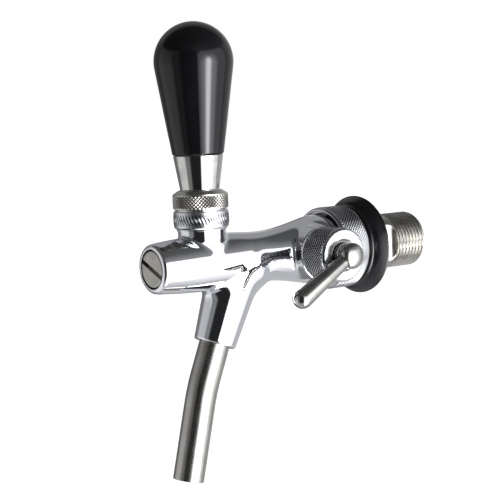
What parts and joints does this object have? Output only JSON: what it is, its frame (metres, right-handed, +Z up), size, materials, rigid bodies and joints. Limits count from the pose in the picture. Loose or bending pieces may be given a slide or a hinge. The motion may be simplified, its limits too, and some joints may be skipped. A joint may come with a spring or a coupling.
{
  "type": "beer tap",
  "caption": "Chromed beer tap with a black pear-shaped handle, bent steel outlet tube, side flow-control lever, black wall flange and threaded shank.",
  "frame": {"origin": "on the shank's axis, in the rear face of the wall flange, which rests on the tower or wall", "axes": "+Y along the shank, rearwards through the wall; -Y faces the user; +Z up along the handle at rest; +X is the side of the flow-control lever"},
  "size_m": [0.0562, 0.1303, 0.1756],
  "materials": {
    "chrome_body": "mirror-bright chrome plating",
    "chrome_knurl": "knurled, chrome plated",
    "steel_polished": "polished stainless steel",
    "steel_brushed": "turned and brushed stainless steel",
    "black_handle": "glossy black moulded resin",
    "black_flange": "satin black plastic",
    "black_seal": "black rubber",
    "white_plastic": "natural acetal",
    "brass_insert": "turned brass"
  },
  "bodies": {
    "tap": {"tap_body": "chrome_body", "front_plug": "steel_brushed", "front_plug_oring": "black_seal", "lower_ball_seat": "white_plastic", "lever_oring": "black_seal", "upper_ball_seat": "white_plastic", "bonnet_nut": "chrome_knurl", "spout_tube": "steel_brushed", "spout_oring": "black_seal", "compensator_nut": "chrome_knurl", "stem_bush": "white_plastic", "shank_washer": "black_seal", "shank": "steel_brushed", "wall_flange": "black_flange"},
    "handle": {"operating_lever": "steel_brushed", "lever_collar": "steel_polished", "handle_ferrule": "steel_polished", "handle_insert": "brass_insert", "handle_knob": "black_handle"},
    "piston": {"valve_piston": "steel_brushed", "piston_orings": "black_seal", "valve_seal": "black_seal", "valve_screw": "steel_brushed"},
    "spindle": {"compensator_stem": "steel_polished", "stem_orings": "black_seal", "compensator_lever": "steel_polished"},
    "cone": {"compensator_cone": "white_plastic"},
    "coupling": {"coupling_nut": "chrome_knurl"}
  },
  "joints": [
    {"name": "handle_tilt", "type": "hinge", "parent": "tap", "child": "handle", "pos_m": [0, -0.0778, 0.014], "axis": [1, 0, 0], "range_deg": [0, 30]},
    {"name": "piston_slide", "type": "slide", "parent": "tap", "child": "piston", "axis": [0, 1, 0], "range_m": [0, 0.0051]},
    {"name": "lever_turn", "type": "hinge", "parent": "tap", "child": "spindle", "pos_m": [0.0317, -0.031, 0], "axis": [1, 0, 0], "range_deg": [-45, 45]},
    {"name": "cone_slide", "type": "slide", "parent": "tap", "child": "cone", "axis": [0, 1, 0], "range_m": [-0.0022, 0.0022]},
    {"name": "coupling_turn", "type": "hinge", "parent": "tap", "child": "coupling", "pos_m": [0, -0.013, 0], "axis": [0, 1, 0], "continuous": true}
  ],
  "couplings": [
    {"joint": "piston_slide", "follows": "handle_tilt", "m_per_rad": 0.00965},
    {"joint": "cone_slide", "follows": "lever_turn", "m_per_rad": 0.00279}
  ]
}
